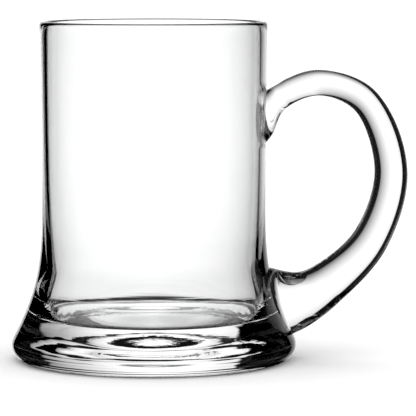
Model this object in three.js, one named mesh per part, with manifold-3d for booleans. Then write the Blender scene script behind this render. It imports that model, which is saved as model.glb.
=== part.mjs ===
import * as THREE from 'three';
import { mergeVertices } from 'three/addons/utils/BufferGeometryUtils.js';
import Module from 'manifold-3d';

// Clear glass beer mug: a blown bowl that flares into a heavy foot, and a drawn glass
// handle whose two ends are pressed onto the bowl while hot.
// Millimetres, +Z up. The mug stands on z = 0 and the handle points along +X.

// Bowl, outside
const HEIGHT = 131;
const RIM_RADIUS = 44;
const WAIST_RADIUS = 43.3;
const WAIST_HEIGHT = 84;
const FLARE_TOP = 60;
const FOOT_RADIUS = 55.2;
const FOOT_EDGE_RADIUS = 6;
const FLARE_ANGLE = THREE.MathUtils.degToRad(27);
const FLARE_FULLNESS = 20;
const FLARE_RISE = 24;

// Bowl, wall and inside
const RIM_WALL = 2.85;
const BODY_WALL = 2.65;
const BODY_WALL_HEIGHT = 70;
const NECK_WALL = 4.6;
const NECK_HEIGHT = 37;
const FLOOR_WALL = 8.2;
const FLOOR_HEIGHT = 15.3;
const FLOOR_FILLET = 2;
const FLOOR_DISH = 0.6;

// Hollow under the foot, inside the ring that the mug stands on, with a deeper bell in its middle
const HOLLOW_RADIUS = 46;
const HOLLOW_DEPTH = 3;
const BELL_RADIUS = 24;
const BELL_DEPTH = 2.05;

// Handle, centre line of the loop
const HANDLE_REACH = 98.3;
const CROWN_DROP = 23.7;
const CROWN_GAP = 19.9;
const UPPER_PAD_DROP = 34.4;
const UPPER_PAD_STANDOFF = 2.6;
const NECK_RISE = 6.4;
const NECK_STANDOFF = 7.7;
const LOWER_PAD_HEIGHT = 23.6;
const LOWER_PAD_STANDOFF = 9.6;

// Handle, thickness in the plane of the loop and width across it
const CROWN_THICKNESS = 10.1;
const CROWN_WIDTH = 11;
const GRIP_THICKNESS = 12.9;
const GRIP_WIDTH = 12.5;
const HEEL_THICKNESS = 17.2;
const HEEL_WIDTH = 15.5;
const NECK_THICKNESS = 12.6;
const NECK_WIDTH = 12;
const UPPER_PAD_LENGTH = 19;
const UPPER_PAD_WIDTH = 15;
const LOWER_PAD_LENGTH = 21.6;
const LOWER_PAD_WIDTH = 19;

// Handle ends, which reach into the wall before they are cut to it
const UPPER_ROOT_DEPTH = 5.5;
const UPPER_ROOT_SAG = 6.6;
const LOWER_ROOT_DEPTH = 3;
const LOWER_ROOT_SAG = 1.5;
const ROOT_SPREAD = 1.2;
const LOWER_ROOT_SPREAD = 1.42;
const SEAT_CLEARANCE = 0.3;

// Fineness of the facets
const BOWL_SIDES = 64;
const CURVE_STEPS = 6;
const HANDLE_SIDES = 24;
const HANDLE_STEPS = 54;

const wasm = await Module();
wasm.setup();

// Underside from the axis to the resting ring: the bell, the wider hollow and the flat ring.
function undersidePoints() {
  const roof = HOLLOW_DEPTH + BELL_DEPTH;
  const bellThird = BELL_RADIUS / 3;
  const hollowThird = (HOLLOW_RADIUS - BELL_RADIUS) / 3;
  const path = new THREE.Path();
  path.moveTo(0, roof);
  path.bezierCurveTo(
    bellThird, roof,
    2 * bellThird, HOLLOW_DEPTH,
    BELL_RADIUS, HOLLOW_DEPTH,
  );
  path.bezierCurveTo(
    BELL_RADIUS + hollowThird, HOLLOW_DEPTH,
    HOLLOW_RADIUS - hollowThird, 0,
    HOLLOW_RADIUS, 0,
  );
  path.lineTo(FOOT_RADIUS - FOOT_EDGE_RADIUS, 0);
  return path.getPoints(CURVE_STEPS);
}

// Outside from the resting ring to the rim: rounded foot edge, flare, slightly waisted wall.
function outsidePoints() {
  const edgeX = FOOT_RADIUS - FOOT_EDGE_RADIUS;
  const shoulderX = edgeX + FOOT_EDGE_RADIUS * Math.cos(FLARE_ANGLE);
  const shoulderZ = FOOT_EDGE_RADIUS * (1 + Math.sin(FLARE_ANGLE));
  const rimShoulder = HEIGHT - RIM_WALL / 2;
  const upperMiddle = WAIST_HEIGHT + (rimShoulder - WAIST_HEIGHT) / 2;
  const path = new THREE.Path();
  path.moveTo(edgeX, 0);
  path.absarc(edgeX, FOOT_EDGE_RADIUS, FOOT_EDGE_RADIUS, -Math.PI / 2, FLARE_ANGLE);
  path.bezierCurveTo(
    shoulderX - FLARE_FULLNESS * Math.sin(FLARE_ANGLE),
    shoulderZ + FLARE_FULLNESS * Math.cos(FLARE_ANGLE),
    WAIST_RADIUS, FLARE_TOP - FLARE_RISE,
    WAIST_RADIUS, FLARE_TOP,
  );
  path.bezierCurveTo(
    WAIST_RADIUS, WAIST_HEIGHT,
    (WAIST_RADIUS + RIM_RADIUS) / 2, upperMiddle,
    RIM_RADIUS, rimShoulder,
  );
  return path.getPoints(CURVE_STEPS);
}

// Radius of an outline at a height, between its two nearest points.
function radiusAt(outline, height) {
  const above = outline.findIndex((point) => point.y >= height);
  const upper = outline[Math.max(above, 1)];
  const lower = outline[Math.max(above, 1) - 1];
  const share = (height - lower.y) / (upper.y - lower.y);
  return THREE.MathUtils.lerp(lower.x, upper.x, share);
}

// Rounded rim, then the inside down to the floor: the wall thickens towards the foot, opens a
// little again below its neck and turns through a small fillet into the dished floor.
function insidePoints(outside) {
  const lip = new THREE.Path();
  const lipRadius = RIM_WALL / 2;
  lip.absarc(RIM_RADIUS - lipRadius, HEIGHT - lipRadius, lipRadius, 0, Math.PI);

  const bodyX = radiusAt(outside, BODY_WALL_HEIGHT) - BODY_WALL;
  const neckX = radiusAt(outside, NECK_HEIGHT) - NECK_WALL;
  const filletZ = FLOOR_HEIGHT + FLOOR_FILLET;
  const filletX = radiusAt(outside, filletZ) - FLOOR_WALL - FLOOR_FILLET;
  const cornerX = filletX + FLOOR_FILLET;
  const upperThird = (HEIGHT - BODY_WALL_HEIGHT) / 3;
  const lowerThird = (BODY_WALL_HEIGHT - NECK_HEIGHT) / 3;
  const neckHalf = (NECK_HEIGHT - filletZ) / 2;
  const taper = (RIM_RADIUS - RIM_WALL - bodyX) / (HEIGHT - BODY_WALL_HEIGHT);

  const wall = new THREE.Path();
  wall.moveTo(RIM_RADIUS - RIM_WALL, HEIGHT - lipRadius);
  wall.bezierCurveTo(
    RIM_RADIUS - RIM_WALL, HEIGHT - upperThird,
    bodyX + 2 * taper * upperThird, BODY_WALL_HEIGHT + upperThird,
    bodyX, BODY_WALL_HEIGHT,
  );
  wall.bezierCurveTo(
    bodyX - 2 * taper * lowerThird, BODY_WALL_HEIGHT - lowerThird,
    neckX, NECK_HEIGHT + lowerThird,
    neckX, NECK_HEIGHT,
  );
  wall.bezierCurveTo(
    neckX, NECK_HEIGHT - neckHalf,
    cornerX, filletZ + neckHalf,
    cornerX, filletZ,
  );

  const corner = new THREE.Path();
  corner.absarc(filletX, filletZ, FLOOR_FILLET, 0, -Math.PI / 2, true);
  corner.quadraticCurveTo(filletX / 2, FLOOR_HEIGHT - FLOOR_DISH, 0, FLOOR_HEIGHT - FLOOR_DISH);

  const half = CURVE_STEPS / 2;
  return [...lip.getPoints(half), ...wall.getPoints(CURVE_STEPS), ...corner.getPoints(half)];
}

// Solid of revolution about Z from an outline of (radius, height) points.
function revolve(outline) {
  const distinct = outline.filter(
    (point, index) => index === 0 || point.distanceTo(outline[index - 1]) > 1e-4,
  );
  return new THREE.LatheGeometry(distinct, BOWL_SIDES).rotateX(Math.PI / 2);
}

// Closed manifold solid of a geometry whose shared corners are merged.
function solidOf(geometry) {
  const bare = geometry.clone();
  bare.deleteAttribute('normal');
  bare.deleteAttribute('uv');
  const merged = mergeVertices(bare, 1e-4);
  return new wasm.Manifold(new wasm.Mesh({
    numProp: 3,
    vertProperties: new Float32Array(merged.attributes.position.array),
    triVerts: new Uint32Array(merged.index.array),
  }));
}

// Geometry of a manifold solid.
function geometryOf(solid) {
  const mesh = solid.getMesh();
  const geometry = new THREE.BufferGeometry();
  geometry.setAttribute('position', new THREE.BufferAttribute(mesh.vertProperties, 3));
  geometry.setIndex(new THREE.BufferAttribute(mesh.triVerts, 1));
  geometry.computeVertexNormals();
  return geometry;
}

// Stations of the handle from the upper pad to the lower one. Each has the centre of its
// section, its thickness in the plane of the loop, its width across that plane and its
// lean, the angle of the section's outer side from +X, which turns down along the loop.
function handleStations(outside) {
  const crownZ = HEIGHT - CROWN_DROP;
  const upperZ = HEIGHT - UPPER_PAD_DROP;
  const upperX = radiusAt(outside, upperZ);
  const lowerX = radiusAt(outside, LOWER_PAD_HEIGHT);
  const gripX = HANDLE_REACH - GRIP_THICKNESS / 2;
  const level = (share) => THREE.MathUtils.lerp(LOWER_PAD_HEIGHT, crownZ, share);
  const reach = (share) => THREE.MathUtils.lerp(lowerX, gripX, share);
  const upperArm = (share) => THREE.MathUtils.lerp(CROWN_THICKNESS, GRIP_THICKNESS, share);
  const lowerArm = (share) => THREE.MathUtils.lerp(GRIP_THICKNESS, HEEL_THICKNESS, share);
  const station = (x, z, thick, wide, lean) => ({ x, z, thick, wide, lean });
  return [
    station(
      upperX - UPPER_ROOT_DEPTH, upperZ - UPPER_ROOT_SAG,
      UPPER_PAD_LENGTH * ROOT_SPREAD, UPPER_PAD_WIDTH * ROOT_SPREAD, 92,
    ),
    station(upperX + UPPER_PAD_STANDOFF, upperZ, UPPER_PAD_LENGTH, UPPER_PAD_WIDTH, 88),
    station(upperX + NECK_STANDOFF, upperZ + NECK_RISE, NECK_THICKNESS, NECK_WIDTH, 83),
    station(RIM_RADIUS + CROWN_GAP, crownZ, CROWN_THICKNESS, CROWN_WIDTH, 85),
    station(reach(0.763), level(0.919), upperArm(0.4), CROWN_WIDTH, 54),
    station(gripX, level(0.6), GRIP_THICKNESS, GRIP_WIDTH, 0),
    station(reach(0.82), level(0.272), lowerArm(0.31), GRIP_WIDTH, -29),
    station(reach(0.44), level(0.069), HEEL_THICKNESS, HEEL_WIDTH, -52),
    station(lowerX + LOWER_PAD_STANDOFF, LOWER_PAD_HEIGHT, LOWER_PAD_LENGTH, LOWER_PAD_WIDTH, -72),
    station(
      lowerX - LOWER_ROOT_DEPTH, LOWER_PAD_HEIGHT - LOWER_ROOT_SAG,
      LOWER_PAD_LENGTH * LOWER_ROOT_SPREAD, LOWER_PAD_WIDTH * ROOT_SPREAD, -73,
    ),
  ];
}

// Rod lofted through the stations: the grid of a capped cylinder is carried along the
// centre line, each ring with the oval section and the lean of its place.
function loftHandle(stations) {
  const line = new THREE.CatmullRomCurve3(stations.map((s) => new THREE.Vector3(s.x, 0, s.z)));
  const shape = new THREE.CatmullRomCurve3(
    stations.map((s) => new THREE.Vector3(s.thick / 2, s.wide / 2, THREE.MathUtils.degToRad(s.lean))),
    false,
    'catmullrom',
  );
  const geometry = new THREE.CylinderGeometry(1, 1, 1, HANDLE_SIDES, HANDLE_STEPS);
  const position = geometry.attributes.position;
  for (let index = 0; index < position.count; index += 1) {
    const along = 0.5 - position.getY(index);
    const outward = position.getX(index);
    const sideways = -position.getZ(index);
    const centre = line.getPoint(along);
    const section = shape.getPoint(along);
    position.setXYZ(
      index,
      centre.x + outward * section.x * Math.cos(section.z),
      sideways * section.y,
      centre.z + outward * section.x * Math.sin(section.z),
    );
  }
  return geometry;
}

// Clear glass, one material for each piece.
function clearGlass() {
  return new THREE.MeshStandardMaterial({
    color: 0xf3f6f6,
    roughness: 0.04,
    metalness: 0,
    transparent: true,
    opacity: 0.4,
  });
}

const outside = outsidePoints();
const bowl = new THREE.Mesh(
  revolve([...undersidePoints(), ...outside, ...insidePoints(outside)]),
  clearGlass(),
);
bowl.name = 'bowl';

// The handle's ends are cut to the bowl's outside, a hair clear of it.
const seatOutline = outside.map((point) => new THREE.Vector2(point.x + SEAT_CLEARANCE, point.y));
const seat = revolve([
  new THREE.Vector2(0, 0),
  ...seatOutline,
  new THREE.Vector2(RIM_RADIUS + SEAT_CLEARANCE, HEIGHT),
  new THREE.Vector2(0, HEIGHT),
]);
const rod = solidOf(loftHandle(handleStations(outside)));
const handle = new THREE.Mesh(geometryOf(rod.subtract(solidOf(seat))), clearGlass());
handle.name = 'handle';

// The frame's origin is under the middle of the mug's length, on the table.
const mug = new THREE.Group();
mug.position.x = (FOOT_RADIUS - HANDLE_REACH) / 2;
mug.add(bowl, handle);

export default mug;
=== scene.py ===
"""Clear glass beer mug, dressed for a bright-field studio shot.

The bowl is one spun shell of glass. The handle is a lofted rod whose ends are cut to the bowl's
side and stand a hairline off it. Lengths are in metres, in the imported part's frame.
"""

import math

import bmesh
import bpy
from bpy.props import FloatProperty, FloatVectorProperty, IntProperty, PointerProperty
from mathutils import Matrix, Vector
from mathutils.geometry import interpolate_bezier


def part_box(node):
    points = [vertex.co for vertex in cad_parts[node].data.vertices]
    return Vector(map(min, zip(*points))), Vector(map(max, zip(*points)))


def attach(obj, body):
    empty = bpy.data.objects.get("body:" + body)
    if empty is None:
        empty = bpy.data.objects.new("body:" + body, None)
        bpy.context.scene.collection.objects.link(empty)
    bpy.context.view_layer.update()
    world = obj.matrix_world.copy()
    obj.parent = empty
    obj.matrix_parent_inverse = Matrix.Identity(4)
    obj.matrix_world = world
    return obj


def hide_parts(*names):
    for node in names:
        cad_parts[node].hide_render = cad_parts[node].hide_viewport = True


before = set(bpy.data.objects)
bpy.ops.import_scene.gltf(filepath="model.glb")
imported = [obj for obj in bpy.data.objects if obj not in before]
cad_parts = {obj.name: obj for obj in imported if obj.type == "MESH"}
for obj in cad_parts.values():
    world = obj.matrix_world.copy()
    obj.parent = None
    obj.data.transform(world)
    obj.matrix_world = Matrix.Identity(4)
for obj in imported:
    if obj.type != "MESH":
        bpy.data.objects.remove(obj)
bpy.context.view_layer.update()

bl_info = {
    "name": "Glass Beer Mug",
    "version": (1, 0, 0),
    "blender": (4, 5, 0),
    "location": "3D View > Sidebar > Mug",
    "description": "Makes a clear glass beer mug and a bright studio stage around it",
    "category": "Add Mesh",
}

MM = 0.001
BOWL_LOW, BOWL_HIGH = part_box("bowl")
HANDLE_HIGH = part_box("handle")[1]
AXIS = Vector(((BOWL_LOW.x + BOWL_HIGH.x) / 2, 0.0, 0.0))
WHITE = (1.0, 1.0, 1.0, 1.0)

# Fineness of the meshes
BELL_STEPS = 28
HOLLOW_STEPS = 22
EDGE_STEPS = 18
FLARE_STEPS = 32
WALL_STEPS = 20
INSIDE_STEPS = 18
ROUND_STEPS = 14
FLOOR_STEPS = 24
TOOL_SIDES = 160
SET_SIDES = 96
MERGE_DISTANCE = 1e-7
SHARP_ANGLE = math.radians(35.0)

# How far the spline swells past the handle's section at the grip
GRIP_SWELL = 0.09 * MM

# Places on the handle's loop as shares of its reach and rise, and shares of the growth in thickness
SHOULDER_PLACE = (0.763, 0.919)
GRIP_PLACE = (1.0, 0.6)
BEND_PLACE = (0.82, 0.272)
HEEL_PLACE = (0.44, 0.069)
SHOULDER_GROWTH = 0.4
BEND_GROWTH = 0.31

# Lean of the handle's sections in degrees, from the upper root to the lower one
LEANS = (92, 88, 83, 85, 54, 0, -29, -52, -72, -73)

# Spacing of the handle's splines: by distance for the places, the same for all sections
BY_DISTANCE = 0.5
ALL_SAME = 0.0

# Grain of the glass in waves to a metre, and the shares and lengths over which its marks fade
WAVE_GRAIN = (40.0, 40.0, 25.0)
WEAR_GRAIN = 90.0
DRAW_GRAIN = 60.0
RING_WANDER = 14.0
RING_FADE = 0.5
PONTIL_FADE = 0.6
UNDERSIDE_FADE = 0.9
GROOVE_START = 0.8
PRESS_FADE = 0.6
PAD_FADE = 2 * MM
HEEL_FADE = 4 * MM

# Levels of the table, its gloss and its card under the resting ring, and the camera's rise in which
# the card slides up
TABLE_LEVEL = -0.05 * MM
GLOSS_LEVEL = -0.04 * MM
CARD_DOWN = -0.5 * MM
CARD_UP = -0.03 * MM
CARD_SLIDE = 100 * MM


def millimetres(name, description, value):
    """A length property whose default is given in millimetres."""
    return FloatProperty(
        name=name, description=description, default=value * MM, unit="LENGTH", subtype="DISTANCE", precision=5
    )


def metres(name, description, value):
    """A length property whose default is given in metres."""
    return FloatProperty(
        name=name, description=description, default=value, unit="LENGTH", subtype="DISTANCE", precision=5
    )


def degrees(name, description, value):
    """An angle property whose default is given in degrees."""
    return FloatProperty(
        name=name, description=description, default=math.radians(value), unit="ROTATION", subtype="ANGLE"
    )


def grey(name, description, value):
    """A plain number property from 0, black, to 1, white."""
    return FloatProperty(
        name=name, description=description, default=value, min=0.0, max=1.0, subtype="FACTOR"
    )


def number(name, description, value):
    """A plain number property."""
    return FloatProperty(name=name, description=description, default=value)


# Sizes and looks that a user would change

class MugBowlSizes(bpy.types.PropertyGroup):
    """Sizes of the blown bowl."""

    height: metres("Height", "From the table to the rim", BOWL_HIGH.z)
    rim_radius: millimetres("Rim radius", "Outside radius at the rim", 44.0)
    waist_radius: millimetres("Waist radius", "Outside radius at the narrowest place", 43.3)
    waist_height: millimetres("Waist height", "Height up to which the wall stays at the waist", 84.0)
    flare_top: millimetres("Flare top", "Height where the flare to the foot begins", 60.0)
    flare_rise: millimetres("Flare rise", "Pull of the upright wall on the flare", 24.0)
    flare_fullness: millimetres("Flare fullness", "Pull of the sloping foot on the flare", 20.0)
    flare_angle: degrees("Flare angle", "Slope of the foot's side from upright", 27.0)
    foot_radius: metres("Foot radius", "Widest radius of the foot", (BOWL_HIGH.x - BOWL_LOW.x) / 2)
    foot_edge: millimetres("Foot edge", "Radius of the foot's rounded edge", 6.0)
    rim_wall: millimetres("Rim wall", "Thickness of the rim", 2.85)
    body_wall: millimetres("Body wall", "Thickness of the wall at half height", 2.65)
    body_height: millimetres("Body height", "Where the body wall is measured", 70.0)
    neck_wall: millimetres("Neck wall", "Thickness of the wall above the foot", 4.6)
    neck_height: millimetres("Neck height", "Where the neck wall is measured", 37.0)
    floor_wall: millimetres("Floor wall", "Thickness of the wall at the floor", 8.2)
    floor_height: millimetres("Floor height", "Inside floor above the table", 15.3)
    floor_fillet: millimetres("Floor fillet", "Radius in the corner of the floor", 2.0)
    floor_dish: millimetres("Floor dish", "Depth of the dished floor", 0.6)
    kick_radius: millimetres("Kick radius", "Radius of the bell in the middle of the underside", 24.0)
    kick_depth: millimetres("Kick depth", "Depth of the bell in the middle of the underside", 2.05)
    hollow_radius: millimetres("Hollow radius", "Inner radius of the flat resting ring", 46.0)
    hollow_depth: millimetres("Hollow depth", "Depth of the hollow around the bell", 3.0)
    sides: IntProperty(name="Sides", description="Steps of the spin", default=256, min=16)


class MugHandleSizes(bpy.types.PropertyGroup):
    """Sizes of the drawn handle."""

    reach: metres(
        "Reach", "From the bowl's axis to the grip's outer side", HANDLE_HIGH.x - AXIS.x - GRIP_SWELL
    )
    crown_drop: millimetres("Crown drop", "From the rim down to the middle of the crown", 23.7)
    crown_gap: millimetres("Crown gap", "From the rim's side out to the middle of the crown", 19.9)
    upper_drop: millimetres("Upper pad drop", "From the rim down to the upper pad", 34.4)
    upper_standoff: millimetres("Upper pad standoff", "From the wall out to the upper pad's section", 2.6)
    neck_rise: millimetres("Neck rise", "From the upper pad up to the neck", 6.4)
    neck_standoff: millimetres("Neck standoff", "From the wall out to the neck", 7.7)
    lower_height: millimetres("Lower pad height", "From the table up to the lower pad", 23.6)
    lower_standoff: millimetres("Lower pad standoff", "From the flare out to the lower pad's section", 9.6)
    crown_thick: millimetres("Crown thickness", "In the plane of the loop", 10.1)
    crown_wide: millimetres("Crown width", "Across the plane of the loop", 11.0)
    grip_thick: millimetres("Grip thickness", "In the plane of the loop", 12.9)
    grip_wide: millimetres("Grip width", "Across the plane of the loop", 12.5)
    heel_thick: millimetres("Heel thickness", "In the plane of the loop", 17.2)
    heel_wide: millimetres("Heel width", "Across the plane of the loop", 17.2)
    neck_thick: millimetres("Neck thickness", "In the plane of the loop", 12.6)
    neck_wide: millimetres("Neck width", "Across the plane of the loop", 12.0)
    upper_long: millimetres("Upper pad length", "Along the wall", 19.0)
    upper_wide: millimetres("Upper pad width", "Round the wall", 15.0)
    lower_long: millimetres("Lower pad length", "Along the flare", 21.6)
    lower_wide: millimetres("Lower pad width", "Round the flare", 21.0)
    upper_depth: millimetres("Upper root depth", "How far the rod runs into the wall before it is cut", 5.5)
    upper_sag: millimetres("Upper root sag", "Drop of the root below the upper pad", 6.6)
    lower_depth: millimetres("Lower root depth", "How far the rod runs into the flare before it is cut", 3.0)
    lower_sag: millimetres("Lower root sag", "Drop of the root below the lower pad", 1.5)
    upper_spread: number("Spread", "Root size over pad size", 1.2)
    lower_spread: number("Lower spread", "Length of the lower root over its pad's length", 1.42)
    seal_gap: millimetres("Seal gap", "Hairline between the handle's ends and the bowl's side", 0.05)
    tong_radius: millimetres("Tong radius", "Radius of the tongs' tips", 8.6)
    tong_x: millimetres("Tong reach", "From the bowl's axis to the middle of the tongs' tips", 53.4)
    tong_y: millimetres("Tong side", "From the handle's plane to the middle of the tongs' tips", 9.1)
    tong_z: millimetres("Tong height", "From the table to the middle of the tongs' tips", 38.2)
    paddle_radius: millimetres("Paddle radius", "Radius of the paddle's face", 25.0)
    paddle_x: millimetres("Paddle reach", "From the bowl's axis to the middle of the paddle's curve", 70.5)
    paddle_y: millimetres("Paddle side", "From the handle's plane to the middle of the paddle's curve", 18.3)
    paddle_z: millimetres("Paddle height", "From the table to the middle of the paddle's curve", -2.9)
    sides: IntProperty(name="Sides", description="Corners of each ring", default=64, min=8)
    rings: IntProperty(name="Rings", description="Rings between two stations", default=16, min=2)


class MugGlassLook(bpy.types.PropertyGroup):
    """Finish of the glass."""

    tint: FloatVectorProperty(
        name="Tint", description="Colour of the glass", default=(0.985, 0.99, 0.99), size=3, subtype="COLOR"
    )
    ior: number("Index", "Refractive index of soda glass", 1.52)
    ripple: millimetres("Ripple", "Height of a ripple in the glass", 0.02)
    waves: number("Waves", "Height of the faint waves all over, in ripples", 0.8)
    draws: number("Draw marks", "Height of the waves along the handle, in ripples", 0.6)
    rings: number("Rings", "Height of the rings on the flare, in ripples", 1.5)
    ring_count: number("Ring count", "Rings in a metre", 700.0)
    ring_least: grey("Least rings", "Share of the rings left on the wall above the flare", 0.15)
    ring_top: millimetres("Ring top", "Height where the rings begin to show", 90.0)
    ring_start: millimetres("Ring start", "Radius of the flare where the rings grow", 44.4)
    ring_full: millimetres("Ring full", "Radius of the flare where the rings are at their strongest", 47.0)
    pits: number("Pits", "Height of the pits in the pontil mark, in ripples", 2.0)
    pit_count: number("Pit count", "Pits in a metre", 400.0)
    pit_radius: millimetres("Pit radius", "Radius of the pontil mark", 24.0)
    pit_top: millimetres("Pit top", "Height that the pontil mark stays under", 8.0)
    grooves: number("Grooves", "Height of the underside's grooves, in ripples", 0.4)
    groove_gap: millimetres("Groove gap", "Between two grooves of the underside", 3.5)
    wrinkles: number("Wrinkles", "Height of the wrinkles at the pads, in ripples", 4.0)
    press_wide: millimetres("Pressed width", "Half width of the wall that the handle's pads wrinkled", 14.0)
    press_low: millimetres("Pressed from", "Lower end of the wrinkles at the upper pad", 84.0)
    press_high: millimetres("Pressed to", "Upper end of the wrinkles at the upper pad", 106.0)
    press_heel: millimetres("Pressed heel", "Upper end of the wrinkles at the lower pad", 34.0)
    heel_share: grey("Heel wrinkles", "Wrinkles at the lower pad over those at the upper one", 0.5)
    wrinkle_count: number("Wrinkle count", "Wrinkles in a metre", 400.0)
    haze: grey("Haze", "Roughness where handling has dulled the polish", 0.012)


class MugStageLook(bpy.types.PropertyGroup):
    """Table, bright-field set and camera."""

    table_white: grey("Table", "Brightness of the white table", 0.98)
    table_size: metres("Table size", "Half width of the table", 30.0)
    window_left: degrees("Window left", "How far the bright background reaches to the left", 25.0)
    window_right: degrees("Window right", "How far the bright background reaches to the right", 37.0)
    window_top: degrees("Window top", "How far the bright background reaches up", 53.0)
    window_soft: grey("Window softness", "Share of the background that fades out at its edge", 0.08)
    window_white: number("Window", "Brightness of the background", 1.4)
    fall_left: grey("Fall left", "How much the background dims towards its left edge", 0.3)
    fall_right: grey("Fall right", "How much the background dims towards its right edge", 0.78)
    fall_top: grey("Fall top", "How much the background dims towards its top", 0.4)
    side_black: grey("Dark sides", "Brightness of the dark sides of the set", 0.0)
    room_grey: grey("Room", "Brightness of the room behind the camera", 0.15)
    room_start: degrees("Room start", "Turn from straight behind where the room begins to show", 95.0)
    room_full: degrees("Room full", "Turn from straight behind where the room is at its brightest", 101.0)
    strip_full: degrees("Strip", "Turn from straight behind to the bright strip beside the room", 98.0)
    strip_white: grey("Strip light", "Brightness of the strip", 0.3)
    world_white: number("Light", "Brightness of the light all round", 1.25)
    gloss_steep: grey("Steep gloss", "Facing value where the table stops mirroring", 0.1)
    gloss_flat: grey("Flat gloss", "Facing value from which the table mirrors fully", 0.62)
    dome_radius: millimetres("Dome radius", "From the bowl's axis to the walls of the set", 1150.0)
    gloss_start: millimetres("Gloss start", "From the bowl's axis to the glossy part of the table", 0.5)
    gloss: grey("Gloss", "How much of the set the table mirrors into the glass", 1.0)
    card_white: grey("Card", "Brightness of the white card on the table", 0.92)
    card_camera: millimetres("Card camera", "Camera height above which the card slides over the gloss", 850.0)
    camera_distance: millimetres("Camera distance", "From the bowl's axis, level", 1130.0)
    camera_height: millimetres("Camera height", "Above the table", 160.8)
    camera_side: millimetres("Camera side", "From the bowl's axis towards the handle", 21.0)
    aim_height: millimetres("Aim height", "Height of the middle of the picture", 58.75)
    lens: FloatProperty(name="Lens", description="Focal length", default=253.5, subtype="DISTANCE_CAMERA")


# Shader arithmetic

class Flow:
    """An output socket that takes part in Python arithmetic; each step adds a Math node."""

    def __init__(self, socket):
        self.socket = socket

    def step(self, operation, first, second=0.0):
        """One Math node in the socket's tree."""
        tree = self.socket.id_data
        node = add_node(tree, "ShaderNodeMath", {"operation": operation}, {0: first, 1: second})
        return Flow(node.outputs[0])

    def __add__(self, other):
        return self.step("ADD", self, other)

    __radd__ = __add__

    def __mul__(self, other):
        return self.step("MULTIPLY", self, other)

    __rmul__ = __mul__

    def __sub__(self, other):
        return self.step("SUBTRACT", self, other)

    def __rsub__(self, other):
        return self.step("SUBTRACT", other, self)

    def root(self):
        return self.step("SQRT", self)

    def size(self):
        return self.step("ABSOLUTE", self)

    def larger(self, other):
        return self.step("MAXIMUM", self, other)

    def fade(self, start, end, first=0.0, last=1.0):
        """Runs smoothly from the first level to the last one between two values."""
        return Flow(add_node(
            self.socket.id_data, "ShaderNodeMapRange", {"interpolation_type": "SMOOTHSTEP"},
            {"Value": self, "From Min": start, "From Max": end, "To Min": first, "To Max": last},
        ).outputs[0])


def add_node(tree, kind, settings=None, sockets=None):
    """Adds a node, sets its settings, then gives its sockets their values or links."""
    node = tree.nodes.new(kind)
    for name, value in (settings or {}).items():
        setattr(node, name, value)
    for key, value in (sockets or {}).items():
        if isinstance(value, Flow):
            tree.links.new(value.socket, node.inputs[key])
        else:
            node.inputs[key].default_value = value
    return node


def new_material(name):
    """An empty node material and its tree."""
    material = bpy.data.materials.new(name)
    material.use_nodes = True
    material.node_tree.nodes.clear()
    return material, material.node_tree


def put_on(tree, surface):
    """Makes a shader node the surface of its material."""
    add_node(tree, "ShaderNodeOutputMaterial", {}, {"Surface": Flow(surface.outputs[0])})


def parts(tree, place):
    """The x, y and z of a place."""
    split = add_node(tree, "ShaderNodeSeparateXYZ", {}, {"Vector": place})
    return [Flow(split.outputs[axis]) for axis in "XYZ"]


def streaks(tree, place, scale, detail):
    """Noise on the piece's own coordinates, drawn out by a different scale along each axis."""
    mapped = add_node(tree, "ShaderNodeMapping", {}, {"Vector": place, "Scale": scale, "Location": -AXIS})
    return Flow(add_node(
        tree, "ShaderNodeTexNoise", {}, {"Vector": Flow(mapped.outputs[0]), "Scale": 1.0, "Detail": detail}
    ).outputs["Fac"])


def tool_marks(tree, place, look):
    """Marks on the bowl: rings of the flare, pontil mark, grooves round it and wrinkles at the pads."""
    mapped = add_node(tree, "ShaderNodeMapping", {}, {"Vector": place, "Location": -AXIS})
    x, y, z = parts(tree, Flow(mapped.outputs[0]))
    radius = (x * x + y * y).root()

    rings = streaks(tree, place, (RING_WANDER, RING_WANDER, look.ring_count), 2.0)
    flare = radius.fade(look.ring_start, look.ring_full, look.ring_least, 1.0)
    flare = flare * z.fade(look.ring_top, look.ring_top * RING_FADE)

    below = z.fade(look.pit_top, look.pit_top * UNDERSIDE_FADE)
    pits = streaks(tree, place, [look.pit_count] * 3, 3.0)
    mark = radius.fade(look.pit_radius, look.pit_radius * PONTIL_FADE) * below
    turn = radius * (math.tau / look.groove_gap)
    hollow = radius.fade(look.pit_radius * GROOVE_START, look.pit_radius) * below
    grooves = turn.step("SINE", turn) * hollow

    beside = y.size().fade(look.press_wide, look.press_wide * PRESS_FADE) * x.fade(0.0, look.press_wide)
    upper = z.fade(look.press_low - PAD_FADE, look.press_low)
    upper = upper * z.fade(look.press_high + PAD_FADE, look.press_high)
    lower = z.fade(look.press_heel + HEEL_FADE, look.press_heel)
    pressed = seal_marks(tree, place, look) * beside * (upper + lower * look.heel_share)
    return rings * flare * look.rings + pits * mark * look.pits + grooves * look.grooves + pressed


def draw_marks(tree, place, look):
    """Faint waves that drawing the rod left along it."""
    return streaks(tree, place, [DRAW_GRAIN] * 3, 2.0) * look.draws


def seal_marks(tree, place, look):
    """Wrinkles where the hot handle was pressed onto the wall."""
    return streaks(tree, place, [look.wrinkle_count] * 3, 3.0) * look.wrinkles


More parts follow.
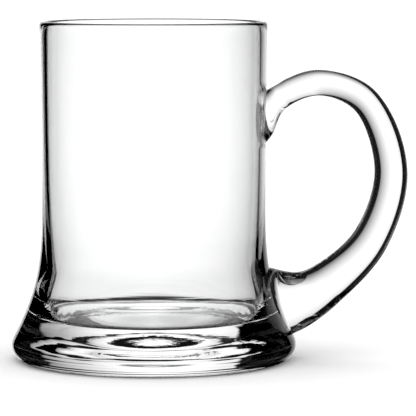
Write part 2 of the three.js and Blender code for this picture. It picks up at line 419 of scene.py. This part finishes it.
def clear_glass(name, look, marks):
    """Clear soda glass with faint drawn-out ripples, a trace of tint and a slightly worn polish."""
    material, tree = new_material(name)
    place = Flow(add_node(tree, "ShaderNodeTexCoord").outputs["Object"])
    waves = streaks(tree, place, WAVE_GRAIN, 1.0)
    wear = streaks(tree, place, [WEAR_GRAIN] * 3, 4.0)
    bump = add_node(tree, "ShaderNodeBump", {}, {
        "Strength": 1.0, "Distance": look.ripple, "Height": marks(tree, place, look) + waves * look.waves,
    })
    tint = add_node(tree, "ShaderNodeMix", {"data_type": "RGBA"}, {
        "Factor": wear, 6: WHITE, 7: (*look.tint, 1.0),
    })
    glass = add_node(tree, "ShaderNodeBsdfPrincipled", {}, {
        "Base Color": Flow(tint.outputs[2]),
        "Roughness": wear * look.haze,
        "Normal": Flow(bump.outputs[0]),
        "IOR": look.ior,
        "Transmission Weight": 1.0,
    })
    put_on(tree, glass)
    return material


def plain_white(name, white):
    """Matt white of the table."""
    material, tree = new_material(name)
    put_on(tree, add_node(tree, "ShaderNodeBsdfDiffuse", {}, {"Color": (white, white, white, 1.0)}))
    return material


def own_tone(material, tree, tone):
    """Gives a material of the set its own tone, whatever light falls on it."""
    material.cycles.emission_sampling = "NONE"
    put_on(tree, add_node(tree, "ShaderNodeEmission", {}, {"Color": tone, "Strength": 1.0}))
    return material


def white_card(name, white):
    """Even tone of the card on the table."""
    material, tree = new_material(name)
    return own_tone(material, tree, (white, white, white, 1.0))


def window_tone(name, look):
    """Tone of the set by direction from the mug: bright window behind, dark sides, grey room in front."""
    material, tree = new_material(name)
    x, y, z = parts(tree, Flow(add_node(tree, "ShaderNodeTexCoord").outputs["Object"]))
    turn = x.step("ARCTAN2", x, y)
    rise = z.step("ARCTAN2", z, (x * x + y * y).root())
    across = (turn * (1.0 / look.window_right)).larger(turn * (-1.0 / look.window_left))
    up = rise * (1.0 / look.window_top)
    reach = (across * across + up * up).root()

    fall_right = turn * (look.fall_right / look.window_right)
    fall_left = turn * (-look.fall_left / look.window_left)
    dim = fall_right.larger(fall_left) + up.size() * look.fall_top
    window = (1.0 - dim) * reach.fade(1.0 - look.window_soft, 1.0, look.window_white, look.side_black)

    front = turn.size()
    room = front.fade(look.room_start, look.room_full, 0.0, look.room_grey)
    strip = front.fade(look.room_start, look.strip_full)
    strip = strip * front.fade(look.strip_full, look.room_full, 1.0, 0.0)
    return own_tone(material, tree, window + room + strip * look.strip_white)


def table_mirror(name, look):
    """Gloss of the table as the glass sees it, fading where it is looked at steeply."""
    material, tree = new_material(name)
    facing = Flow(add_node(tree, "ShaderNodeLayerWeight", {}, {"Blend": 0.5}).outputs["Facing"])
    tone = facing.fade(look.gloss_steep, look.gloss_flat, 0.0, look.gloss)
    put_on(tree, add_node(tree, "ShaderNodeBsdfAnisotropic", {}, {"Color": tone, "Roughness": 0.0}))
    return material


# Mesh tools

def curve(start, pull_start, pull_end, end, steps):
    """Points of a Bezier curve in the (radius, height) plane, its first point left out."""
    points = interpolate_bezier(*[Vector((*p, 0.0)) for p in (start, pull_start, pull_end, end)], steps + 1)
    return [(p.x, p.y) for p in points[1:]]


def arc(centre, radius, first, last, steps):
    """Points of a circular arc in the (radius, height) plane, its first point left out."""
    turns = [first + (last - first) * step / steps for step in range(1, steps + 1)]
    return [(centre[0] + radius * math.cos(turn), centre[1] + radius * math.sin(turn)) for turn in turns]


def spun(outline, sides):
    """A bmesh of the outline, (radius, height) points, spun once round the bowl's axis."""
    shape = bmesh.new()
    points = [shape.verts.new((AXIS.x + radius, 0.0, height)) for radius, height in outline]
    edges = [shape.edges.new(pair) for pair in zip(points, points[1:])]
    bmesh.ops.spin(
        shape, geom=points + edges, cent=AXIS, axis=(0.0, 0.0, 1.0), angle=math.tau, steps=sides,
        use_merge=True,
    )
    bmesh.ops.remove_doubles(shape, verts=shape.verts, dist=MERGE_DISTANCE)
    bmesh.ops.recalc_face_normals(shape, faces=shape.faces)
    return shape


def to_object(shape, name, materials):
    """Turns a bmesh into a smooth object at the origin of the scene."""
    mesh = bpy.data.meshes.new(name)
    for face in shape.faces:
        face.smooth = True
    shape.to_mesh(mesh)
    shape.free()
    for material in materials:
        mesh.materials.append(material)
    piece = bpy.data.objects.new(name, mesh)
    bpy.context.scene.collection.objects.link(piece)
    return piece


def cut_away(piece, cutter):
    """Cuts the cutter's volume out of the piece for good, and removes the cutter."""
    cut = piece.modifiers.new("cut", "BOOLEAN")
    cut.operation = "DIFFERENCE"
    cut.solver = "EXACT"
    cut.material_mode = "TRANSFER"
    cut.object = cutter
    bpy.context.view_layer.update()
    evaluated = piece.evaluated_get(bpy.context.evaluated_depsgraph_get())
    mesh = bpy.data.meshes.new_from_object(evaluated)
    piece.modifiers.clear()
    piece.data = mesh
    bpy.data.objects.remove(cutter)


def radius_at(outline, height):
    """Radius of a rising outline at a height."""
    for (lower_r, lower_z), (upper_r, upper_z) in zip(outline, outline[1:]):
        if upper_z >= height > lower_z:
            return lower_r + (upper_r - lower_r) * (height - lower_z) / (upper_z - lower_z)
    raise ValueError(f"the outline doesn't reach the height {height}")


# Outlines of the bowl

def underside(size):
    """From the axis to the resting ring: a bell inside a wider hollow, then the flat ring."""
    deep = size.kick_depth + size.hollow_depth
    kick_third = size.kick_radius / 3
    third = (size.hollow_radius - size.kick_radius) / 3
    points = [(0.0, deep)]
    points += curve(
        points[-1], (kick_third, deep), (2 * kick_third, size.hollow_depth),
        (size.kick_radius, size.hollow_depth), BELL_STEPS,
    )
    points += curve(
        points[-1], (size.kick_radius + third, size.hollow_depth), (size.hollow_radius - third, 0.0),
        (size.hollow_radius, 0.0), HOLLOW_STEPS,
    )
    return points


def outside(size):
    """From the resting ring to the rim: rounded foot edge, flare and slightly waisted wall."""
    edge_r = size.foot_radius - size.foot_edge
    rim_z = size.height - size.rim_wall / 2
    middle_z = (size.waist_height + rim_z) / 2
    points = [(edge_r, 0.0)]
    points += arc((edge_r, size.foot_edge), size.foot_edge, -math.pi / 2, size.flare_angle, EDGE_STEPS)
    foot_r, foot_z = points[-1]
    points += curve(
        points[-1],
        (foot_r - size.flare_fullness * math.sin(size.flare_angle),
         foot_z + size.flare_fullness * math.cos(size.flare_angle)),
        (size.waist_radius, size.flare_top - size.flare_rise),
        (size.waist_radius, size.flare_top), FLARE_STEPS,
    )
    points += curve(
        points[-1], (size.waist_radius, size.waist_height),
        ((size.waist_radius + size.rim_radius) / 2, middle_z), (size.rim_radius, rim_z), WALL_STEPS,
    )
    return points


def inside(size, outer):
    """Over the rounded rim and down the inside, through the fillet to the middle of the dished floor."""
    lip = size.rim_wall / 2
    rim_r = size.rim_radius - size.rim_wall
    body_r = radius_at(outer, size.body_height) - size.body_wall
    neck_r = radius_at(outer, size.neck_height) - size.neck_wall
    fillet_z = size.floor_height + size.floor_fillet
    fillet_r = radius_at(outer, fillet_z) - size.floor_wall - size.floor_fillet
    corner_r = fillet_r + size.floor_fillet
    upper = (size.height - size.body_height) / 3
    lower = (size.body_height - size.neck_height) / 3
    neck_half = (size.neck_height - fillet_z) / 2
    taper = (rim_r - body_r) / (size.height - size.body_height)
    low_z = size.floor_height - size.floor_dish
    points = arc((size.rim_radius - lip, size.height - lip), lip, 0.0, math.pi, ROUND_STEPS)
    points += curve(
        points[-1], (rim_r, size.height - upper),
        (body_r + 2 * taper * upper, size.body_height + upper), (body_r, size.body_height), INSIDE_STEPS,
    )
    points += curve(
        points[-1], (body_r - 2 * taper * lower, size.body_height - lower),
        (neck_r, size.neck_height + lower), (neck_r, size.neck_height), INSIDE_STEPS,
    )
    points += curve(
        points[-1], (neck_r, size.neck_height - neck_half),
        (corner_r, fillet_z + neck_half), (corner_r, fillet_z), INSIDE_STEPS,
    )
    points += arc((fillet_r, fillet_z), size.floor_fillet, 0.0, -math.pi / 2, ROUND_STEPS)
    points += curve(
        points[-1], (fillet_r * 2 / 3, size.floor_height - size.floor_dish * 2 / 3),
        (fillet_r / 3, low_z), (0.0, low_z), FLOOR_STEPS,
    )
    return points


# Stations of the handle

def stations(size, bowl):
    """Centres of the handle's sections, and their half thickness, half width and lean, top to bottom."""
    outer = outside(bowl)
    crown_z = bowl.height - size.crown_drop
    upper_z = bowl.height - size.upper_drop
    upper_x = radius_at(outer, upper_z)
    lower_x = radius_at(outer, size.lower_height)
    grip_x = size.reach - size.grip_thick / 2

    def between(first, second, share):
        return first + (second - first) * share

    def on_loop(out, rise):
        return between(lower_x, grip_x, out), between(size.lower_height, crown_z, rise)

    shoulder_thick = between(size.crown_thick, size.grip_thick, SHOULDER_GROWTH)
    bend_thick = between(size.grip_thick, size.heel_thick, BEND_GROWTH)
    rows = [
        (upper_x - size.upper_depth, upper_z - size.upper_sag,
         size.upper_long * size.upper_spread, size.upper_wide * size.upper_spread),
        (upper_x + size.upper_standoff, upper_z, size.upper_long, size.upper_wide),
        (upper_x + size.neck_standoff, upper_z + size.neck_rise, size.neck_thick, size.neck_wide),
        (bowl.rim_radius + size.crown_gap, crown_z, size.crown_thick, size.crown_wide),
        (*on_loop(*SHOULDER_PLACE), shoulder_thick, size.crown_wide),
        (*on_loop(*GRIP_PLACE), size.grip_thick, size.grip_wide),
        (*on_loop(*BEND_PLACE), bend_thick, size.grip_wide),
        (*on_loop(*HEEL_PLACE), size.heel_thick, size.heel_wide),
        (lower_x + size.lower_standoff, size.lower_height, size.lower_long, size.lower_wide),
        (lower_x - size.lower_depth, size.lower_height - size.lower_sag,
         size.lower_long * size.lower_spread, size.lower_wide * size.upper_spread),
    ]
    centres = []
    sections = []
    for (x, z, thick, wide), lean in zip(rows, LEANS, strict=True):
        centres.append(Vector((x, 0.0, z)))
        sections.append(Vector((thick / 2, wide / 2, math.radians(lean))))
    return centres, sections


def smooth_run(points, power, steps):
    """Points of a spline through all the given ones, spaced by a power of the distance between them."""
    ends = [points[0] * 2 - points[1], *points, points[-1] * 2 - points[-2]]
    run = [points[0]]
    for before, start, end, after in zip(ends, ends[1:], ends[2:], ends[3:]):
        spans = ((before, start), (start, end), (end, after))
        came, goes, leaves = [(second - first).length ** power for first, second in spans]
        pull = (start - before) / came - (end - before) / (came + goes) + (end - start) / goes
        push = (end - start) / goes - (after - start) / (goes + leaves) + (after - end) / leaves
        run += interpolate_bezier(start, start + pull * goes / 3, end - push * goes / 3, end, steps + 1)[1:]
    return run


# Operators

class MugMakeBowl(bpy.types.Operator):
    """Spin the bowl with its foot"""

    bl_idname = "mug.make_bowl"
    bl_label = "Make Bowl"

    def execute(self, context):
        size = context.scene.mug_bowl
        outer = outside(size)
        outline = [*underside(size), *outer, *inside(size, outer)]
        glass = clear_glass("bowl_glass", context.scene.mug_glass, tool_marks)
        piece = to_object(spun(outline, size.sides), "glass_bowl", [glass])
        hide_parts("bowl")
        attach(piece, "root")
        return {"FINISHED"}


class MugMakeHandle(bpy.types.Operator):
    """Loft the handle, cut its ends to the bowl's side and press the tools' dents into it"""

    bl_idname = "mug.make_handle"
    bl_label = "Make Handle"

    def execute(self, context):
        size = context.scene.mug_handle
        bowl = context.scene.mug_bowl
        shape = bmesh.new()
        loops = []
        centres, sections = stations(size, bowl)
        line = smooth_run(centres, BY_DISTANCE, size.rings)
        for centre, (thick, wide, lean) in zip(line, smooth_run(sections, ALL_SAME, size.rings)):
            place = (
                Matrix.Translation(AXIS + centre)
                @ Matrix.Rotation(-lean, 4, "Y")
                @ Matrix.Diagonal((thick, wide, 1.0, 1.0))
            )
            ring = bmesh.ops.create_circle(shape, segments=size.sides, radius=1.0, matrix=place)["verts"]
            loops.append(list(dict.fromkeys(edge for vert in ring for edge in vert.link_edges)))
        for first, second in zip(loops, loops[1:]):
            bmesh.ops.bridge_loops(shape, edges=first + second)
        for end in (loops[0], loops[-1]):
            bmesh.ops.contextual_create(shape, geom=end)
        bmesh.ops.recalc_face_normals(shape, faces=shape.faces)
        glass = clear_glass("handle_glass", context.scene.mug_glass, draw_marks)
        piece = to_object(shape, "glass_handle", [glass])
        seat = [(0.0, 0.0)] + [(radius + size.seal_gap, height) for radius, height in outside(bowl)]
        seat += [(bowl.rim_radius + size.seal_gap, bowl.height), (0.0, bowl.height)]
        seal = clear_glass("seal_glass", context.scene.mug_glass, seal_marks)
        cut_away(piece, to_object(spun(seat, bowl.sides), "seat", [seal]))
        for place, radius in self.press_marks(size):
            ball = bmesh.new()
            bmesh.ops.create_uvsphere(
                ball, u_segments=TOOL_SIDES, v_segments=TOOL_SIDES // 2, radius=radius,
                matrix=Matrix.Translation(place),
            )
            cut_away(piece, to_object(ball, "tool", [glass]))
        piece.data.set_sharp_from_angle(angle=SHARP_ANGLE)
        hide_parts("handle")
        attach(piece, "root")
        return {"FINISHED"}

    def press_marks(self, size):
        """Centres and radii of the balls that leave the tools' dents on both sides of the lower root."""
        for side in (-1, 1):
            yield AXIS + Vector((size.tong_x, side * size.tong_y, size.tong_z)), size.tong_radius
            yield AXIS + Vector((size.paddle_x, side * size.paddle_y, size.paddle_z)), size.paddle_radius


class MugMakeStage(bpy.types.Operator):
    """Set up the table, the light, the camera and the set that the glass sees"""

    bl_idname = "mug.make_stage"
    bl_label = "Make Stage"

    def execute(self, context):
        look = context.scene.mug_stage
        scene = context.scene
        scene.view_settings.view_transform = "Standard"

        world = bpy.data.worlds.new("studio")
        world.use_nodes = True
        background = world.node_tree.nodes["Background"]
        background.inputs["Color"].default_value = WHITE
        background.inputs["Strength"].default_value = look.world_white
        scene.world = world

        shape = bmesh.new()
        level = Matrix.Translation((0.0, 0.0, TABLE_LEVEL))
        bmesh.ops.create_grid(shape, x_segments=1, y_segments=1, size=look.table_size, matrix=level)
        table = to_object(shape, "table", [plain_white("table_white", look.table_white)])

        camera = bpy.data.objects.new("camera", bpy.data.cameras.new("camera"))
        camera.location = AXIS + Vector((look.camera_side, -look.camera_distance, look.camera_height))
        aim = Vector((0.0, look.camera_distance, look.aim_height - look.camera_height))
        camera.rotation_euler = aim.to_track_quat("-Z", "Y").to_euler()
        camera.data.lens = look.lens
        scene.collection.objects.link(camera)
        scene.camera = camera

        rig = bpy.data.objects.new("flag_rig", None)
        rig.location = AXIS
        scene.collection.objects.link(rig)
        face = rig.constraints.new("LOCKED_TRACK")
        face.target = camera
        face.track_axis = "TRACK_NEGATIVE_Y"
        face.lock_axis = "LOCK_Z"

        shape = bmesh.new()
        bmesh.ops.create_uvsphere(
            shape, u_segments=SET_SIDES, v_segments=SET_SIDES // 2, radius=look.dome_radius
        )
        self.only_for_glass(to_object(shape, "set_dome", [window_tone("set_tone", look)]), rig)

        shape = spun([(look.gloss_start, GLOSS_LEVEL), (look.dome_radius, GLOSS_LEVEL)], SET_SIDES)
        bmesh.ops.translate(shape, verts=shape.verts, vec=-AXIS)
        self.only_for_glass(to_object(shape, "table_gloss", [table_mirror("table_gloss", look)]), rig)

        shape = bmesh.new()
        bmesh.ops.create_circle(shape, cap_ends=True, segments=SET_SIDES, radius=look.dome_radius)
        card = to_object(shape, "table_card", [white_card("card_white", look.card_white)])
        self.only_for_glass(card, rig)
        slide = card.constraints.new("TRANSFORM")
        slide.target = camera
        slide.from_min_z = look.card_camera
        slide.from_max_z = look.card_camera + CARD_SLIDE
        slide.to_min_z = CARD_DOWN
        slide.to_max_z = CARD_UP
        return {"FINISHED"}

    def only_for_glass(self, card, rig):
        """Lets only the glass see a card, by reflection and refraction, and turns it with the rig."""
        card.parent = rig
        card.visible_camera = False
        card.visible_diffuse = False
        card.visible_shadow = False


class MugPanel(bpy.types.Panel):
    """Lists the mug's sizes and the operators that make it"""

    bl_idname = "VIEW3D_PT_mug"
    bl_label = "Glass Beer Mug"
    bl_space_type = "VIEW_3D"
    bl_region_type = "UI"
    bl_category = "Mug"

    def draw(self, context):
        for group in PROPERTIES:
            box = self.layout.box()
            settings = getattr(context.scene, group)
            for name in settings.__annotations__:
                box.prop(settings, name)
        for operator in OPERATORS:
            self.layout.operator(operator.bl_idname)


PROPERTIES = {
    "mug_bowl": MugBowlSizes,
    "mug_handle": MugHandleSizes,
    "mug_glass": MugGlassLook,
    "mug_stage": MugStageLook,
}
OPERATORS = (MugMakeBowl, MugMakeHandle, MugMakeStage)


def register():
    """Adds the sizes to the scene, then the operators and the panel."""
    for group, kind in PROPERTIES.items():
        bpy.utils.register_class(kind)
        setattr(bpy.types.Scene, group, PointerProperty(type=kind))
    for kind in (*OPERATORS, MugPanel):
        bpy.utils.register_class(kind)


def unregister():
    """Takes the panel, the operators and the sizes out again."""
    for kind in (MugPanel, *reversed(OPERATORS)):
        bpy.utils.unregister_class(kind)
    for group, kind in reversed(PROPERTIES.items()):
        delattr(bpy.types.Scene, group)
        bpy.utils.unregister_class(kind)


def main():
    """Registers the add-on, then makes the mug and its stage."""
    register()
    bpy.ops.mug.make_bowl()
    bpy.ops.mug.make_handle()
    bpy.ops.mug.make_stage()


if __name__ == "__main__":
    main()
